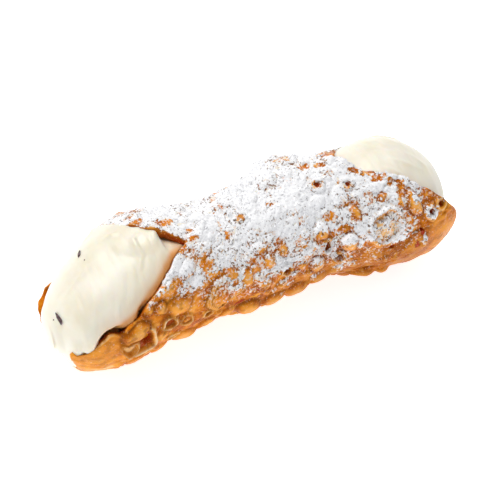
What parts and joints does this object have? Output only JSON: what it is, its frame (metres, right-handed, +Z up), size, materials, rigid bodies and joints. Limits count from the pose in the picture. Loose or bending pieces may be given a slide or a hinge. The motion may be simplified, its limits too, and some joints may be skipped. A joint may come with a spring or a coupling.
{
  "type": "filled cannolo pastry",
  "caption": "Tube of blistered fried dough with its flaps lapped on top and a scooped mouth at each end, filled with ricotta cream that domes out of both mouths.",
  "frame": {"origin": "centre of the footprint, on the surface the pastry rests on", "axes": "+X along the tube towards the mouth whose lap is further back, -Y towards the side with the outer flap, +Z up"},
  "size_m": [0.1378, 0.0448, 0.0453],
  "materials": {
    "fried_dough": "golden brown fried dough with blisters, dusted with powdered sugar",
    "ricotta_cream": "smooth ivory ricotta cream with a soft sheen"
  },
  "bodies": {
    "root": {"shell": "fried_dough", "filling": "ricotta_cream"}
  },
  "joints": []
}
